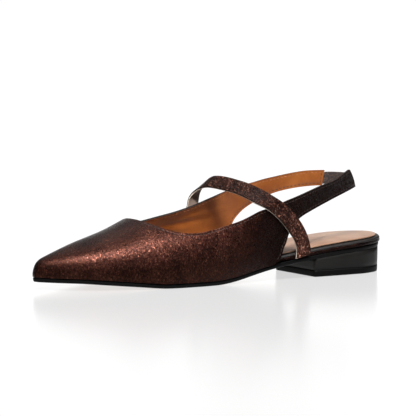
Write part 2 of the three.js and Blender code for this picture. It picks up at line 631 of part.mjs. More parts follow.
const makeHeel = () =>
  makeSlab({
    from: SHARES.breast,
    to: 0,
    rows: 16,
    columns: 4,
    rings: [
      { inset: () => 1.6, z: () => TOP_PIECE + GAP },
      { inset: (x) => seatTuck(x) + 0.6, z: (x) => underside(x) - GAP },
    ],
  });

const makeTopPiece = () =>
  makeSlab({
    from: SHARES.breast,
    to: 0,
    rows: 16,
    columns: 4,
    rings: [
      { inset: () => 1.8, z: () => 0 },
      { inset: () => 1.6, z: () => TOP_PIECE },
    ],
  });

const PIECES = [
  { name: "upper", make: makeUpper, color: "#4a2f28", roughness: 0.4, metalness: 0.35 },
  { name: "instep_strap", make: makeStrap, color: "#4a2f28", roughness: 0.4, metalness: 0.35 },
  { name: "elastic_gore", make: makeElastic, color: "#2e221f", roughness: 0.85, metalness: 0 },
  { name: "insole", make: makeInsole, color: "#452c26", roughness: 0.45, metalness: 0.3 },
  { name: "sock_lining", make: makeSock, color: "#c99a74", roughness: 0.6, metalness: 0 },
  { name: "outsole", make: makeOutsole, color: "#161414", roughness: 0.5, metalness: 0 },
  { name: "heel", make: makeHeel, color: "#151515", roughness: 0.35, metalness: 0 },
  { name: "heel_top_piece", make: makeTopPiece, color: "#1b1a19", roughness: 0.6, metalness: 0 },
];

const shoe = new THREE.Group();
for (const { name, make, color, roughness, metalness } of PIECES) {
  const mesh = new THREE.Mesh(make(), new THREE.MeshStandardMaterial({ color, roughness, metalness }));
  mesh.name = name;
  shoe.add(mesh);
}

// The shoe stands on Z = 0 with the origin under the middle of its box.
const box = new THREE.Box3().setFromObject(shoe);
const centre = box.getCenter(new THREE.Vector3());
for (const mesh of shoe.children) mesh.geometry.translate(-centre.x, -centre.y, -box.min.z);

export default shoe;
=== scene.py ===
import math

import bpy
import numpy as np
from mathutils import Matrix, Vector
from mathutils.bvhtree import BVHTree


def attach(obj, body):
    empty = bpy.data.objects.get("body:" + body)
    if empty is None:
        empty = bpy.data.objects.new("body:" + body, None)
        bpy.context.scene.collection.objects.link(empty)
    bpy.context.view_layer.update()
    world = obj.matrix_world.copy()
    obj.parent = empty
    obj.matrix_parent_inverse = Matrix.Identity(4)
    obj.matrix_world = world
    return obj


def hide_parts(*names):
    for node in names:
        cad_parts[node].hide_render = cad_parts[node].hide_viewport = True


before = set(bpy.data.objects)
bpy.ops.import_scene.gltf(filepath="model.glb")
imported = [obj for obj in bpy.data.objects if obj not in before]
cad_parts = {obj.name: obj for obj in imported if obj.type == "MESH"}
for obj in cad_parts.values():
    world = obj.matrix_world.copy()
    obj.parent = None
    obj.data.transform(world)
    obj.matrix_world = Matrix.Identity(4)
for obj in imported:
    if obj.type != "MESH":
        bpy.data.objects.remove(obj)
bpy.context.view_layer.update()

# The left shoe stands with its toe along +X and its outer side along +Y. Tables are in millimetres.
MM = 0.001

# Thicknesses of the plies, and the glue line between two of them.
LEATHER_PLY = 0.9
LINING_PLY = 0.62
STRAP_LEATHER_PLY = 0.85
STRAP_LINING_PLY = 0.6
ELASTIC_WALL = 1.15
PLY_GAP = 0.04

# Seams: length and pitch of a stitch, its thread and how proud it stands, the seam's distance from
# the cut edge, and how far to each side it draws the leather in. A seam ends where a corner leaves
# it less than this share of its distance, and this high above the level where the sole begins.
STITCH_LENGTH = 2.1
STITCH_PITCH = 2.9
THREAD = 0.42
PROUD = 0.02
SEAM_INSET = 1.7
SEAM_REACH = 0.9
FEWEST_STITCHES = 2
SHORTEST_RUN = 4
CORNER_ROOM = 0.93
CLEAR_OF_SOLE = 1.6

# Angles, in degrees: what still counts as one smooth skin, one quad, a cut edge or a soft edge.
SKIN_TURN = 50
PAIR_TURN = 70
PAIR_SKEW = 100
CUT_TURN = 50
SOFT_TURN = 60

# Share of a crease over which each of its ends fades out.
CREASE_FADE = 0.3

# Corners closer than this are one corner.
SAME_CORNER = 0.01

# Share of a normal along an axis: a face that looks that way, a flat side, and a glued side.
LOOKS_THERE = 0.9
FLAT_SIDE = 0.7
GLUED_SIDE = 0.3

# Camera worked out from the photograph.
CAMERA_AZIMUTH = 149.5
CAMERA_ELEVATION = 5.6
CAMERA_DISTANCE = 1600
CAMERA_TARGET = (1.0, -2.7, 30.0)
CAMERA_LIFT = 18.06
CAMERA_LENS = 203.9
CAMERA_SENSOR = 36
CAMERA_SEES_FROM = 0.05

# Side of the studio floor in metres, so wide that its far edge lies on the horizon.
FLOOR_SIDE = 900


# Small tools


def hex_colour(code):
    """Linear colour of an sRGB hex value."""
    parts = [int(code[i : i + 2], 16) / 255 for i in (1, 3, 5)]
    return [c / 12.92 if c <= 0.04045 else ((c + 0.055) / 1.055) ** 2.4 for c in parts] + [1.0]


def add_node(owner, kind, inputs=None, **settings):
    """Adds a node to a material or a world: settings are its own properties, inputs are values or
    sockets linked to it."""
    tree = owner.node_tree
    node = tree.nodes.new(kind)
    for name, value in settings.items():
        setattr(node, name, value)
    for name, value in (inputs or {}).items():
        socket = node.inputs[name]
        if isinstance(value, bpy.types.NodeSocket):
            tree.links.new(value, socket)
        else:
            socket.default_value = value
    return node


def new_material(name):
    """A material with nothing but its output."""
    material = bpy.data.materials.new(name)
    material.use_nodes = True
    material.node_tree.nodes.clear()
    return material


def finish_material(material, **inputs):
    """Ends a material in a Principled shader with these inputs."""
    named = {name.replace("_", " "): value for name, value in inputs.items()}
    shader = add_node(material, "ShaderNodeBsdfPrincipled", named)
    add_node(material, "ShaderNodeOutputMaterial", {"Surface": shader.outputs["BSDF"]})
    return material


def ramp(material, factor, stops):
    """Colours by a factor; stops are (place, sRGB hex)."""
    node = add_node(material, "ShaderNodeValToRGB", {"Fac": factor})
    elements = node.color_ramp.elements
    while len(elements) < len(stops):
        elements.new(0.5)
    for element, (place, code) in zip(elements, stops):
        element.position = place
        element.color = hex_colour(code)
    return node.outputs["Color"]


def spread(owner, value, low, high, low_to, high_to, **settings):
    """Maps a value from one range to another."""
    limits = {"Value": value, "From Min": low, "From Max": high}
    limits.update({"To Min": low_to, "To Max": high_to})
    return add_node(owner, "ShaderNodeMapRange", limits, **settings).outputs["Result"]


def calc(material, operation, *values):
    """Result of a sum over these values or sockets."""
    inputs = dict(enumerate(values))
    return add_node(material, "ShaderNodeMath", inputs, operation=operation).outputs[0]


def per_mm(size):
    """Texture scale, per metre, of a pattern whose cells are this many millimetres."""
    return 1000 / size


def place_of(material, stretch=(1, 1, 1)):
    """Object coordinates, squeezed along an axis where stretch is over 1."""
    where = add_node(material, "ShaderNodeTexCoord").outputs["Object"]
    inputs = {"Vector": where, "Scale": stretch}
    return add_node(material, "ShaderNodeMapping", inputs).outputs["Vector"]


def noise(material, where, size, detail=2.0, roughness=0.5):
    """Cloudy noise whose blobs are this many millimetres."""
    inputs = {"Vector": where, "Scale": per_mm(size), "Detail": detail, "Roughness": roughness}
    return add_node(material, "ShaderNodeTexNoise", inputs).outputs["Fac"]


def bump(material, height, depth, strength=1.0, under=None):
    """Surface relief of this many millimetres."""
    inputs = {"Height": height, "Distance": depth * MM, "Strength": strength}
    if under is not None:
        inputs["Normal"] = under
    return add_node(material, "ShaderNodeBump", inputs).outputs["Normal"]


# Modelling tools


def deselect():
    """Object mode with nothing selected."""
    if bpy.context.object and bpy.context.object.mode != "OBJECT":
        bpy.ops.object.mode_set(mode="OBJECT")
    bpy.ops.object.select_all(action="DESELECT")


def hold(piece):
    """Only this piece is selected and active."""
    deselect()
    piece.select_set(True)
    bpy.context.view_layer.objects.active = piece
    return piece


def points_of(piece):
    """Corners of the mesh as an array, in millimetres."""
    flat = np.empty(3 * len(piece.data.vertices))
    piece.data.vertices.foreach_get("co", flat)
    return flat.reshape(-1, 3) / MM


def normals_of(piece):
    """Smooth normals at the corners of the mesh."""
    flat = np.empty(3 * len(piece.data.vertices))
    piece.data.vertices.foreach_get("normal", flat)
    return flat.reshape(-1, 3)


def set_points(piece, points):
    """Puts the corners of the mesh at these places, in millimetres."""
    piece.data.vertices.foreach_set("co", (points * MM).ravel())
    piece.data.update()


def copy_node(node, name):
    """A merged copy of a CAD node."""
    deselect()
    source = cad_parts[node]
    piece = bpy.data.objects.new(name, source.data.copy())
    piece.data.name = name
    piece.data.materials.clear()
    bpy.context.scene.collection.objects.link(piece)
    hold(piece)
    bpy.ops.object.mode_set(mode="EDIT")
    bpy.ops.mesh.select_all(action="SELECT")
    bpy.ops.mesh.customdata_custom_splitnormals_clear()
    bpy.ops.mesh.remove_doubles(threshold=SAME_CORNER * MM)
    bpy.ops.object.mode_set(mode="OBJECT")
    return piece


def pair_triangles(piece):
    """Joins pairs of triangles into the quads that they were cut from."""
    hold(piece)
    bpy.ops.object.mode_set(mode="EDIT")
    bpy.ops.mesh.select_all(action="SELECT")
    turn, skew = math.radians(PAIR_TURN), math.radians(PAIR_SKEW)
    bpy.ops.mesh.tris_convert_to_quads(face_threshold=turn, shape_threshold=skew)
    bpy.ops.object.mode_set(mode="OBJECT")


def outer_skin(node, name, outward):
    """The outer skin of a thin-walled node: what runs on smoothly from its outermost face."""
    piece = copy_node(node, name)
    mesh = piece.data
    facing = np.array([face.normal for face in mesh.polygons]) @ np.array(outward)
    centres = np.array([face.center for face in mesh.polygons]) @ np.array(outward)
    seed = int(np.argmax(np.where(facing > LOOKS_THERE, centres, -1)))
    for group in (mesh.vertices, mesh.edges, mesh.polygons):
        group.foreach_set("select", np.zeros(len(group), bool))
    mesh.polygons[seed].select = True
    hold(piece)
    bpy.ops.object.mode_set(mode="EDIT")
    bpy.ops.mesh.select_mode(type="FACE")
    bpy.ops.mesh.faces_select_linked_flat(sharpness=math.radians(SKIN_TURN))
    bpy.ops.object.mode_set(mode="OBJECT")
    kept = {v for face in mesh.polygons if face.select for v in face.vertices}
    if node == "upper":
        # The facets round the very tip of the toe turn too sharply to be reached.
        kept.add(int(np.argmax(points_of(piece)[:, 0])))
    for face in mesh.polygons:
        face.select = not kept.issuperset(face.vertices)
    bpy.ops.object.mode_set(mode="EDIT")
    bpy.ops.mesh.delete(type="FACE")
    bpy.ops.object.mode_set(mode="OBJECT")
    pair_triangles(piece)
    return piece


def apply(piece, kind, **settings):
    """Adds a modifier with these settings and applies it."""
    hold(piece)
    modifier = piece.modifiers.new(kind, kind)
    for name, value in settings.items():
        setattr(modifier, name, value)
    bpy.ops.object.modifier_apply(modifier=modifier.name)
    return piece


def smooth_out(piece, levels, corners="PRESERVE_CORNERS"):
    """Rounds the facets of a piece."""
    settings = {"levels": levels, "render_levels": levels, "boundary_smooth": corners}
    apply(piece, "SUBSURF", **settings)
    piece.data.shade_smooth()
    return piece


def crease_sharp_edges(piece, angle, amount):
    """Keeps the edges over this angle crisp when the piece is smoothed."""
    hold(piece)
    bpy.ops.object.mode_set(mode="EDIT")
    bpy.ops.mesh.select_mode(type="EDGE")
    bpy.ops.mesh.select_all(action="DESELECT")
    bpy.ops.mesh.edges_select_sharp(sharpness=math.radians(angle))
    bpy.ops.transform.edge_crease(value=amount)
    bpy.ops.object.mode_set(mode="OBJECT")


def twin(piece, name):
    """A copy of a piece with its own mesh."""
    other = bpy.data.objects.new(name, piece.data.copy())
    other.data.name = name
    bpy.context.scene.collection.objects.link(other)
    return other


def ply(skin, name, depth, wall, materials, edge_round=0.2):
    """A layer of leather of this wall, this deep under a skin. Its cut edges have the last of the
    materials and are rounded this much."""
    piece = twin(skin, name)
    set_points(piece, points_of(skin) - depth * normals_of(skin))
    for material in materials:
        piece.data.materials.append(material)
    last = len(materials) - 1
    apply(piece, "SOLIDIFY", thickness=wall * MM, offset=-1, material_offset_rim=last)
    if edge_round:
        apply(
            piece,
            "BEVEL",
            width=edge_round * MM,
            segments=2,
            limit_method="ANGLE",
            angle_limit=math.radians(CUT_TURN),
            harden_normals=False,
            material=last,
        )
    hold(piece)
    bpy.ops.object.shade_smooth_by_angle(angle=math.radians(SOFT_TURN))
    return piece


def level_of(node, side):
    """Height by x of a flat side of a sole piece: 1 for its top, -1 for its underside."""
    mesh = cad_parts[node].data
    points = points_of(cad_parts[node])
    rows = {}
    for face in mesh.polygons:
        if face.normal.z * side < FLAT_SIDE:
            continue
        for v in face.vertices:
            x, _, z = points[v]
            rows.setdefault(round(float(x), 1), []).append(float(z))
    xs = sorted(rows)
    zs = [min(rows[x]) if side > 0 else max(rows[x]) for x in xs]
    return lambda x: np.interp(x, xs, zs)


def ease(t):
    """Soft step from 0 to 1."""
    t = np.clip(t, 0, 1)
    return t * t * (3 - 2 * t)


def open_edge(piece):
    """Corner numbers along the open edge of a sheet, in order."""
    uses = {}
    for face in piece.data.polygons:
        for pair in face.edge_keys:
            uses[pair] = uses.get(pair, 0) + 1
    beside = {}
    for (a, b), count in uses.items():
        if count == 1:
            beside.setdefault(a, []).append(b)
            beside.setdefault(b, []).append(a)
    start = max(beside, key=lambda v: piece.data.vertices[v].co.x)
    loop = [start, beside[start][0]]
    while True:
        ahead = [v for v in beside[loop[-1]] if v != loop[-2]]
        if not ahead or ahead[0] == start:
            return loop
        loop.append(ahead[0])


def nearest(points, others):
    """Distance from each point to the closest of the others."""
    return np.array([np.sqrt(((others - p) ** 2).sum(1).min()) for p in points])


def mark_edge_distance(piece, edge):
    """Writes how far each corner is from an edge line, for the seam that runs along it."""
    attribute = piece.data.attributes.new("from_edge", "FLOAT", "POINT")
    attribute.data.foreach_set("value", nearest(points_of(piece), edge).astype(np.float32))


def surface_tree(piece):
    """The piece's surface, for finding the closest place on it."""
    corners = [tuple(p) for p in points_of(piece)]
    return BVHTree.FromPolygons(corners, [tuple(face.vertices) for face in piece.data.polygons])


def seam_places(piece, loop, inset, keep):
    """Stitches of a seam inside the kept part of an open edge: place, normal, tangent, and how far
    the edge is above the stitch."""
    points = points_of(piece)[loop]
    normals = normals_of(piece)[loop]
    along = np.roll(points, -1, axis=0) - np.roll(points, 1, axis=0)
    along /= np.linalg.norm(along, axis=1)[:, None]
    inward = np.cross(normals, along)
    tree = surface_tree(piece)
    off = [
        sum(tree.find_nearest(tuple(p))[3] for p in points + side * inset * inward)
        for side in (1, -1)
    ]
    if off[0] > off[1]:
        inward = -inward
    inner = points + inset * inward
    clear = nearest(inner, points) > CORNER_ROOM * inset
    runs, run = [], []
    for place, good in zip(inner, clear & keep(points)):
        if good:
            run.append(place)
        elif run:
            runs.append(run)
            run = []
    runs.append(run)
    stitches = []
    for run in runs:
        if len(run) < SHORTEST_RUN:
            continue
        run = np.array(run)
        length = np.r_[0, np.cumsum(np.linalg.norm(np.diff(run, axis=0), axis=1))]
        count = max(FEWEST_STITCHES, round(length[-1] / STITCH_PITCH))
        at = (np.arange(count) + 0.5) * length[-1] / count
        places = np.array([np.interp(at, length, run[:, k]) for k in range(3)]).T
        for place, tangent in zip(places, np.gradient(places, axis=0)):
            spot, normal = tree.find_nearest(tuple(place))[:2]
            edge = points[np.argmin(((points - place) ** 2).sum(1))]
            stitches.append((np.array(spot), np.array(normal), tangent, edge[2] - place[2]))
    return stitches


def one_stitch():
    """Corners and faces of one stitch: a short rounded thread, drawn in at both ends."""
    deselect()
    bpy.ops.mesh.primitive_uv_sphere_add(segments=8, ring_count=6, radius=0.5)
    stitch = bpy.context.object
    corners = np.array([v.co for v in stitch.data.vertices])
    flattened, drawn_in = 0.8 * THREAD, 0.2 * THREAD
    corners = corners[:, [2, 0, 1]] * np.array([STITCH_LENGTH, THREAD, flattened])
    corners[:, 2] -= drawn_in * np.abs(corners[:, 0] * 2 / STITCH_LENGTH) ** 2
    faces = [tuple(face.vertices) for face in stitch.data.polygons]
    bpy.data.objects.remove(stitch)
    return corners, faces


def sew(name, stitches, depth, material):
    """A seam of these stitches, this deep under the skin and facing out or in."""
    template, template_faces = one_stitch()
    corners, faces = [], []
    side = 1 if depth <= 0 else -1
    for place, normal, tangent, _ in stitches:
        t = tangent - normal * (tangent @ normal)
        t /= np.linalg.norm(t)
        frame_of = np.array([t, np.cross(normal, t) * side, normal * side])
        start = len(corners)
        corners.extend(place - depth * normal + template @ frame_of)
        faces.extend(tuple(v + start for v in face) for face in template_faces)
    mesh = bpy.data.meshes.new(name)
    mesh.from_pydata([tuple(c * MM) for c in corners], [], faces)
    row = bpy.data.objects.new(name, mesh)
    bpy.context.scene.collection.objects.link(row)
    mesh.materials.append(material)
    mesh.shade_smooth()
    return row


def press_creases(piece, creases, weights=(1, 1, 1)):
    """Soft troughs, or ridges where depth is negative, from start to end of each line. Weights say
    how much each axis counts when a corner's distance from the line is measured."""
    points = points_of(piece)
    flat = points * weights
    normals = normals_of(piece)
    moved = points.copy()
    for crease in creases:
        start, end = np.array(crease["start"]) * weights, np.array(crease["end"]) * weights
        run = end - start
        along = np.clip((flat - start) @ run / (run @ run), 0, 1)
        away = np.linalg.norm(flat - start - along[:, None] * run, axis=1)
        fade = ease(along / CREASE_FADE) * ease((1 - along) / CREASE_FADE)
        lift = crease["depth"] * np.exp(-((away / crease["width"]) ** 2)) * fade
        moved -= lift[:, None] * normals
    set_points(piece, moved)


def put(piece, slot, *nodes):
    """The finished piece rides on the shoe and stands for these CAD nodes."""
    deselect()
    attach(piece, "root")
    if nodes:
        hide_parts(*nodes)
    return piece


# Materials


def seam_channel(material):
    """Height of the surface by a cut edge: 0 in the channel that the seam draws in, 1 beside it."""
    away = add_node(material, "ShaderNodeAttribute", attribute_name="from_edge").outputs["Fac"]
    off = calc(material, "ABSOLUTE", calc(material, "SUBTRACT", away, SEAM_INSET))
    return spread(material, off, 0, SEAM_REACH, 0, 1)


def tilted(material, cells, amount, under):
    """Tilts every cell of a pattern its own way, so that each scale catches the light by itself."""
    kind = "ShaderNodeVectorMath"
    even = (0.5, 0.5, 0.5)
    lean = add_node(material, kind, {0: cells, 1: even}, operation="SUBTRACT").outputs[0]
    lean = add_node(material, kind, {0: lean, "Scale": amount}, operation="SCALE").outputs[0]
    both = add_node(material, kind, {0: under, 1: lean}, operation="ADD").outputs[0]
    return add_node(material, kind, {0: both}, operation="NORMALIZE").outputs[0]


# Along the shoe, a painted shade darkens the foil's colour fully behind the first place and not at
# all ahead of the second. Its scales lie loose behind the third, and from the fourth on they are
# pulled tight and hardly tip.
PAINTED_SHADE_FULL_AT, PAINTED_SHADE_GONE_AT = -35, 15
LOOSE_AT, TIGHT_AT, TIGHT_LEAN = 10, 80, 0.1


def foiled_leather(name, colours, shaded_rear_share, scale, crack, lean, gleam):
    """Goat leather with a metallic foil, milled so that it cracks into small scales that glitter.
    Colours run from bare dye to the brightest foil. The rear share is how much of the foil's
    colour a painted shade leaves at the back, scale the size of its scales, crack the depth between
    them, lean how far they tip where the leather isn't pulled tight, and gleam how much one scale
    in five stands out."""
    material = new_material(name)
    where = place_of(material, (1.3, 1.0, 0.85))
    scales = {"Vector": where, "Scale": per_mm(scale), "Randomness": 1.0}
    cell = add_node(material, "ShaderNodeTexVoronoi", scales).outputs["Color"]
    rim = add_node(material, "ShaderNodeTexVoronoi", scales, feature="DISTANCE_TO_EDGE")
    chance = add_node(material, "ShaderNodeSeparateColor", {"Color": cell}).outputs
    cloud = noise(material, where, 22, detail=2)
    fine = noise(material, where, 0.45, detail=3, roughness=0.6)
    along = add_node(material, "ShaderNodeSeparateXYZ", {"Vector": place_of(material)}).outputs["X"]

    # Colour: cloudy over centimetres, uneven from scale to scale, and painted shade at the back.
    patchy = calc(material, "MULTIPLY_ADD", chance["Red"], 0.55, cloud)
    level = spread(material, calc(material, "ADD", patchy, fine), 0.55, 1.75, 0, 1)
    # Painted shade: the colour fades to the rear share from the middle of the shoe backwards.
    painted_rear_shade = spread(material, along, PAINTED_SHADE_FULL_AT * MM, PAINTED_SHADE_GONE_AT * MM, shaded_rear_share, 1)
    level = calc(material, "MULTIPLY", level, painted_rear_shade)
    glint = spread(material, chance["Blue"], 0.72, 0.9, 0, gleam)
    level = calc(material, "MULTIPLY_ADD", level, 0.6, glint)
    foil = ramp(material, level, list(zip((0, 0.3, 0.6, 1), colours)))

    # Relief: the seam's channel, fine grain, cracks between the scales, and the scales' own tilt.
    gap = spread(material, rim.outputs["Distance"], 0, 0.1, 0, 1)
    relief = bump(material, seam_channel(material), depth=0.16, strength=0.8)
    relief = bump(material, fine, depth=0.06, strength=0.8, under=relief)
    relief = bump(material, gap, depth=crack, strength=0.8, under=relief)
    tip = spread(material, along, LOOSE_AT * MM, TIGHT_AT * MM, lean, TIGHT_LEAN)
    return finish_material(
        material,
        Base_Color=foil,
        Metallic=0.98,
        Roughness=spread(material, chance["Green"], 0, 1, 0.27, 0.4),
        Normal=tilted(material, cell, tip, relief),
        Coat_Weight=0.01,
        Coat_Roughness=0.3,
    )


def smooth_leather(name, light, deep, gloss, pore=0.7):
    """Drummed lining leather: even colour, faint pores and soft clouding."""
    material = new_material(name)
    where = place_of(material)
    cloud = noise(material, where, 18, detail=3)
    grain = noise(material, where, pore, detail=4, roughness=0.65)
    inputs = {"Vector": where, "Scale": per_mm(pore * 1.4)}
    pores = add_node(material, "ShaderNodeTexVoronoi", inputs).outputs["Distance"]
    tone = calc(material, "MULTIPLY_ADD", grain, 0.4, cloud)
    relief = bump(material, seam_channel(material), depth=0.12, strength=0.7)
    relief = bump(material, grain, depth=0.04, strength=0.5, under=relief)
    tone = spread(material, tone, 0.45, 0.95, 0, 1)
    return finish_material(
        material,
        Base_Color=ramp(material, tone, [(0, deep), (1, light)]),
        Roughness=spread(material, grain, 0.3, 0.7, gloss - 0.06, gloss + 0.08),
        Normal=bump(material, pores, depth=0.03, strength=0.35, under=relief),
        Specular_IOR_Level=0.45,
    )


def fibrous(name, size, detail, harshness, colours, depth, **shader):
    """Short fibres: cut leather, or thread. Colours are (place, sRGB hex), from low to high."""
    material = new_material(name)
    fibre = noise(material, place_of(material), size, detail=detail, roughness=harshness)
    colour = ramp(material, fibre, colours)
    relief = bump(material, fibre, depth=depth)
    return finish_material(material, Base_Color=colour, Normal=relief, **shader)


def woven_elastic(name):
    """Braided elastic: ribs along the band, broken into lighter flecks where the yarns come up."""
    material = new_material(name)
    where = place_of(material)
    inputs = {"Vector": where, "Scale": per_mm(1.0) / math.pi, "Distortion": 1.2, "Detail": 2.0}
    bands = {"wave_type": "BANDS", "bands_direction": "Z"}
    ribs = add_node(material, "ShaderNodeTexWave", inputs, **bands).outputs["Fac"]
    inputs = {"Vector": where, "Scale": per_mm(1.1)}
    knots = add_node(material, "ShaderNodeTexVoronoi", inputs).outputs["Distance"]
    yarn = calc(material, "MULTIPLY", ribs, knots)
    patch = noise(material, place_of(material, (1, 1, 1.6)), 1.0, detail=3, roughness=0.6)
    fleck = calc(material, "MULTIPLY_ADD", yarn, -0.25, patch)
    return finish_material(
        material,
        Base_Color=ramp(material, fleck, [(0.42, "#0e0908"), (0.62, "#5e443a")]),
        Roughness=0.8,
        Sheen_Weight=0.15,
        Normal=bump(material, yarn, depth=0.25),
    )


def sole_resin(name, light, deep, gloss, grit, shine=0.5):
    """Injected resin with a painted edge: satin, with a very fine mould texture."""
    material = new_material(name)
    where = place_of(material)
    fine = noise(material, where, grit, detail=3, roughness=0.6)
    cloud = noise(material, where, 22, detail=2)
    return finish_material(
        material,
        Base_Color=ramp(material, cloud, [(0.35, deep), (0.65, light)]),
        Roughness=spread(material, fine, 0.3, 0.7, gloss - 0.05, gloss + 0.08),
        Normal=bump(material, fine, depth=0.03, strength=0.5),
        Specular_IOR_Level=shine,
    )


# Dark bronze foil with small, even scales, pulled tight over the toe.
FOIL = ("#0e0706", "#26130e", "#492a21", "#85594b")
# Painted shade leaves 0.3 of this foil's colour at the back of the shoe.
leather = foiled_leather(
    "foiled_goat_leather", FOIL, shaded_rear_share=0.3, scale=0.8, crack=0.07, lean=0.36, gleam=0.21
)

# The same leather on the strap: coarser, with deeper cracks and more scales that catch the light.
STRAP_FOIL = ("#0f0706", "#1e100c", "#5a382e", "#9a7061")
# Painted shade leaves nearly all of the strap foil's colour at the back.
strap_foil = foiled_leather(
    "foiled_strap_leather", STRAP_FOIL, shaded_rear_share=0.95, scale=0.9, crack=0.2, lean=0.5, gleam=0.3
)

# Smooth leathers: warm tan lining with a low sheen, a paler and glossier sock, a matt taupe strap
# lining, and the nearly black bead round the insole.
tan_lining = smooth_leather("tan_lining_leather", "#945524", "#683412", gloss=0.35)
sock_leather = smooth_leather("nude_sock_leather", "#967863", "#755541", gloss=0.34, pore=0.9)
taupe_lining = smooth_leather("taupe_strap_lining", "#8d7b70", "#6d5c52", gloss=0.6)
bead_leather = smooth_leather("black_bead_leather", "#120c0b", "#0a0706", gloss=0.42)

# Cut edges: dyed and waxed dark on the leather, raw and pale on the strap's lining.
painted_edge = fibrous(
    "painted_edge",
    size=0.6,
    detail=4,
    harshness=0.7,
    colours=[(0.3, "#0c0706"), (0.75, "#1d120f")],
    depth=0.06,
    Roughness=0.65,
    Specular_IOR_Level=0.2,
)
pale_edge = fibrous(
    "pale_lining_edge",
    size=0.5,
    detail=4,
    harshness=0.7,
    colours=[(0.3, "#b8a594"), (0.75, "#e3d6c6")],
    depth=0.05,
    Roughness=0.75,
)


def sewing_thread(name, shade, light):
    """Bonded polyester thread: three twisted strands, too fine to show as more than a sheen."""
    return fibrous(name, 0.3, 2, 0.5, [(0.3, shade), (0.7, light)], 0.05, Roughness=0.55)


dark_thread = sewing_thread("dark_brown_thread", "#0d0807", "#3a241e")
tan_thread = sewing_thread("tan_thread", "#8a5228", "#a8693a")
elastic_weave = woven_elastic("woven_elastic")

# Sole resins: black satin edge, matt beige tread, charcoal heel cover that takes a soft light along
# its side, and dull black rubber.
black_edge = sole_resin("black_sole_edge", "#090909", "#060606", gloss=0.4, grit=0.5, shine=0.1)
tread_resin = sole_resin("beige_tread_resin", "#a58a74", "#8f7561", gloss=0.55, grit=0.35)
heel_cover = sole_resin("black_heel_cover", "#191817", "#141312", gloss=0.4, grit=0.8, shine=0.16)
top_rubber = sole_resin(
    "black_top_piece_rubber", "#090808", "#060606", gloss=0.5, grit=0.4, shine=0.08
)


# Upper

# Soft troughs of the leather where it flexes, at the ball and behind it.
VAMP_CREASES = [
    {"start": (52, 22, 26), "end": (30, 38, 17), "width": 5.0, "depth": 0.22},
    {"start": (38, 30, 31), "end": (18, 38, 18), "width": 4.0, "depth": 0.18},
    {"start": (46, -20, 30), "end": (24, -37, 18), "width": 4.5, "depth": 0.25},
    {"start": (-6, 35, 40), "end": (8, 38, 16), "width": 7.0, "depth": 0.22},
]

# Troughs and ridges of the medial lining, which rucks behind the throat. They were laid out in side
# view, so a corner's distance from them counts little across the shoe.
LINING_CREASES = [
    {"start": (42, -27, 31), "end": (-8, -37, 33), "width": 1.0, "depth": 0.4},
    {"start": (38, -29, 28), "end": (-14, -37, 29), "width": 1.2, "depth": -0.4},
    {"start": (36, -30, 25), "end": (-2, -37, 24), "width": 1.0, "depth": 0.4},
    {"start": (30, -31, 34), "end": (-24, -36, 39), "width": 1.3, "depth": -0.35},
    {"start": (24, -33, 20), "end": (-20, -36, 22), "width": 1.6, "depth": 0.35},
    {"start": (16, -34, 38), "end": (-34, -34, 46), "width": 1.2, "depth": 0.3},
]
ACROSS_COUNTS_LITTLE = (1, 0.1, 1)

upper_skin = outer_skin("upper", "upper_skin", (0, 1, 0))
smooth_out(upper_skin, 2)
press_creases(upper_skin, VAMP_CREASES)

sole_top = level_of("outsole", 1)
upper_edge = open_edge(upper_skin)


def off_the_sole(points):
    """True where an edge is clear of the sole, and so is cut and sewn."""
    return points[:, 2] > sole_top(points[:, 0]) + CLEAR_OF_SOLE


edge_points = points_of(upper_skin)[upper_edge]
mark_edge_distance(upper_skin, edge_points[off_the_sole(edge_points)])
stitches = seam_places(upper_skin, upper_edge, SEAM_INSET, off_the_sole)
upper_seam = sew("upper_seam", stitches, -PROUD, dark_thread)

upper_leather = ply(upper_skin, "upper_leather", 0, LEATHER_PLY, [leather, painted_edge])
lining_skin = twin(upper_skin, "lining_skin")
press_creases(lining_skin, LINING_CREASES, ACROSS_COUNTS_LITTLE)
upper_lining = ply(
    lining_skin,
    "upper_lining",
    LEATHER_PLY + PLY_GAP,
    LINING_PLY,
    [tan_lining, painted_edge],
    edge_round=0,
)

# Inside, the topline is sewn in tan and the other edges in dark brown.
inside = LEATHER_PLY + PLY_GAP + LINING_PLY + PROUD
TOPLINE_RISE = 0.6 * SEAM_INSET
along_top = [stitch for stitch in stitches if stitch[3] > TOPLINE_RISE]
elsewhere = [stitch for stitch in stitches if stitch[3] <= TOPLINE_RISE]
topline_seam = sew("topline_seam", along_top, inside, tan_thread)
lining_seam = sew("lining_seam", elsewhere, inside, dark_thread)

strap_skin = outer_skin("instep_strap", "strap_skin", (0, 0, 1))
smooth_out(strap_skin, 3)
strap_leather = ply(
    strap_skin, "instep_strap_leather", 0, STRAP_LEATHER_PLY, [strap_foil, painted_edge]
)
strap_lining = ply(
    strap_skin,
    "instep_strap_lining",
    STRAP_LEATHER_PLY + PLY_GAP,
    STRAP_LINING_PLY,
    [taupe_lining, pale_edge],
    edge_round=0.12,
)

elastic_skin = outer_skin("elastic_gore", "elastic_skin", (-1, 0, 0))
# The elastic's medial end, from this place over this run, is moved in under the end of the sling.
SEWN_FROM, SEWN_RUN, SEWN_SHIFT = -18.4, 0.6, (0.5, -0.3, 0)
band = points_of(elastic_skin)
sewn_end = ease((SEWN_FROM - band[:, 1]) / SEWN_RUN)
band += np.outer(sewn_end, SEWN_SHIFT)
set_points(elastic_skin, band)
smooth_out(elastic_skin, 3)
elastic_band = ply(
    elastic_skin, "elastic_band", 0, ELASTIC_WALL, [elastic_weave, elastic_weave], edge_round=0.25
)

# Sole pieces


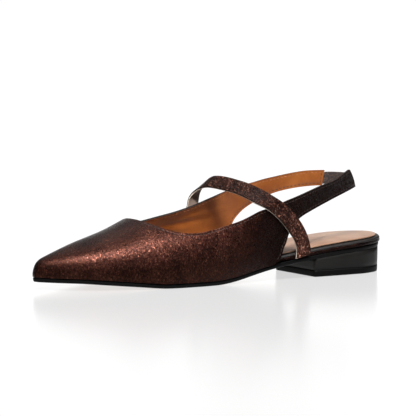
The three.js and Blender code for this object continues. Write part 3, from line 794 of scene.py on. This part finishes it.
def smooth_slab(node, name, materials, angle, amount, levels):
    """A sole piece with its facets rounded. Edges that turn more than the angle are kept crisp by
    this amount, where 1 is a knife edge."""
    piece = copy_node(node, name)
    pair_triangles(piece)
    crease_sharp_edges(piece, angle, amount)
    smooth_out(piece, levels)
    for material in materials:
        piece.data.materials.append(material)
    return piece


def paint(piece, number, chosen):
    """Gives a material number to the faces whose centre and normal are chosen."""
    for face in piece.data.polygons:
        if chosen(np.array(face.center) / MM, face.normal):
            face.material_index = number


# The tread is what faces the floor ahead of the heel's breast.
BREAST_AT = -63.0
TREAD_FACES_DOWN = -0.97
outsole = smooth_slab(
    "outsole", "outsole_resin", [black_edge, tread_resin], angle=50, amount=0.75, levels=2
)
paint(
    outsole, 1, lambda centre, normal: normal.z < TREAD_FACES_DOWN and centre[0] > BREAST_AT
)

# The rim of the insole: a dark bead along its top, a groove, and a wrapped band below.
insole_cover = smooth_slab(
    "insole", "insole_cover", [leather, bead_leather], angle=60, amount=0.4, levels=3
)
rim_low, rim_high = level_of("insole", -1), level_of("insole", 1)
BEAD_FROM = 0.56
GROOVE_WIDTH = 0.09
GROOVE_DEPTH = 0.4


def rim_share(points):
    """Height up the insole's rim, from 0 at its foot to 1 at its top, with slight waves from the
    hand that wrapped it."""
    x, y, z = points.T
    low = rim_low(x)
    wave = 0.03 * np.sin(x / 3.1) + 0.025 * np.sin(x / 1.7 + 1) + 0.02 * np.sin(y / 2.3)
    return (z - low) / (rim_high(x) - low) + wave


rim = points_of(insole_cover)
rim_normals = normals_of(insole_cover)
groove = GROOVE_DEPTH * np.exp(-(((rim_share(rim) - BEAD_FROM) / GROOVE_WIDTH) ** 2))
side_on = 1 - np.abs(rim_normals[:, 2])
set_points(insole_cover, rim - (groove * side_on)[:, None] * rim_normals)
paint(insole_cover, 1, lambda centre, normal: rim_share(centre[None])[0] > BEAD_FROM)

sock = smooth_slab("sock_lining", "sock_pad", [sock_leather], angle=60, amount=0.5, levels=3)
heel_block = smooth_slab("heel", "heel_block", [heel_cover], angle=40, amount=0.97, levels=2)
top_piece = smooth_slab(
    "heel_top_piece", "heel_top_lift", [top_rubber], angle=40, amount=0.97, levels=2
)


def close_joint(piece, up, down):
    """Moves a piece's top up and its underside down, so that its glued joints look closed."""
    points = points_of(piece)
    facing = normals_of(piece)[:, 2]
    points[:, 2] += np.where(facing > GLUED_SIDE, up, np.where(facing < -GLUED_SIDE, -down, 0))
    set_points(piece, points)


close_joint(heel_block, up=0.9, down=0.45)

# The shoe's pieces on their body

for scrap in (upper_skin, lining_skin, strap_skin, elastic_skin):
    bpy.data.objects.remove(scrap)

put(upper_leather, "upper_leather", "upper")
put(upper_lining, "lining_leather")
put(upper_seam, "upper_leather")
put(topline_seam, "lining_leather")
put(lining_seam, "lining_leather")
put(strap_leather, "upper_leather", "instep_strap")
put(strap_lining, "lining_leather")
put(elastic_band, "elastic", "elastic_gore")
put(outsole, "outsole_rubber", "outsole")
put(insole_cover, "upper_leather", "insole")
put(sock, "lining_leather", "sock_lining")
put(heel_block, "heel_cover", "heel")
put(top_piece, "outsole_rubber", "heel_top_piece")

# Floor, lights and camera

# The sweep glows an even white, and mirrors the shoe softly where it stands.
paper = new_material("white_sweep")
finish_material(
    paper,
    Base_Color=hex_colour("#4a4a4a"),
    Roughness=0.2,
    IOR=1.2,
    Emission_Color=hex_colour("#f4f4f4"),
    Emission_Strength=0.7,
)
deselect()
bpy.ops.mesh.primitive_plane_add(size=FLOOR_SIDE)
floor = bpy.context.object
floor.name = "floor"
floor.data.materials.append(paper)

azimuth, elevation = math.radians(CAMERA_AZIMUTH), math.radians(CAMERA_ELEVATION)
back = Vector(
    (
        math.sin(azimuth) * math.cos(elevation),
        -math.cos(azimuth) * math.cos(elevation),
        math.sin(elevation),
    )
)
turned = (-back).to_track_quat("-Z", "Y")
camera = bpy.data.objects.new("camera", bpy.data.cameras.new("camera"))
bpy.context.scene.collection.objects.link(camera)
camera.data.lens = CAMERA_LENS
camera.data.sensor_width = CAMERA_SENSOR
camera.data.clip_start = CAMERA_SEES_FROM
camera.data.clip_end = FLOOR_SIDE
lift = turned @ Vector((0, 1, 0)) * CAMERA_LIFT * MM
camera.location = Vector(CAMERA_TARGET) * MM + back * CAMERA_DISTANCE * MM
camera.rotation_mode = "QUATERNION"
aim = Vector(CAMERA_TARGET) * MM + lift - camera.location
camera.rotation_quaternion = aim.to_track_quat("-Z", "Y")
bpy.context.scene.camera = camera


def softbox(name, where, target, size, power):
    """A soft white rectangular light that looks at a point, in metres and watts."""
    light = bpy.data.lights.new(name, "AREA")
    light.shape = "RECTANGLE"
    light.size, light.size_y = size
    light.energy = power
    lamp = bpy.data.objects.new(name, light)
    bpy.context.scene.collection.objects.link(lamp)
    lamp.location = where
    lamp.rotation_mode = "QUATERNION"
    lamp.rotation_quaternion = (Vector(target) - Vector(where)).to_track_quat("-Z", "Y")


# The narrow box over the toe draws the bright band along the vamp. The second fills the strap and
# the sock, and the third lights the floor from behind.
softbox("toe_box", (0.31, 0.43, 1.0), (0.13, 0.0, 0.02), size=(0.5, 0.12), power=29)
softbox("overhead_box", (-0.35, 0.62, 1.2), (-0.02, 0, 0.03), size=(0.9, 0.4), power=10)
softbox("floor_wash", (-0.2, -1.3, 1.9), (-0.1, -0.2, 0), size=(3.0, 1.6), power=12)

# Studio surround: white behind the shoe, where the photograph looks, and dim grey elsewhere. Two
# shares say how closely a direction agrees with the camera's where white begins and is full.
WHITE_BEGINS, WHITE_IS_FULL = 0.86, 0.975
DIM, WHITE = 0.07, 1.02
world = bpy.data.worlds.new("studio")
bpy.context.scene.world = world
world.use_nodes = True
world.node_tree.nodes.clear()
outward = add_node(world, "ShaderNodeTexCoord").outputs["Generated"]
inputs = {0: outward, 1: tuple(-back)}
ahead = add_node(world, "ShaderNodeVectorMath", inputs, operation="DOT_PRODUCT").outputs["Value"]
limits = (WHITE_BEGINS, WHITE_IS_FULL, DIM, WHITE)
level = spread(world, ahead, *limits, interpolation_type="SMOOTHSTEP")
inputs = {"Color": hex_colour("#ffffff"), "Strength": level}
sky = add_node(world, "ShaderNodeBackground", inputs).outputs["Background"]
add_node(world, "ShaderNodeOutputWorld", {"Surface": sky})
bpy.context.scene.view_settings.view_transform = "Standard"
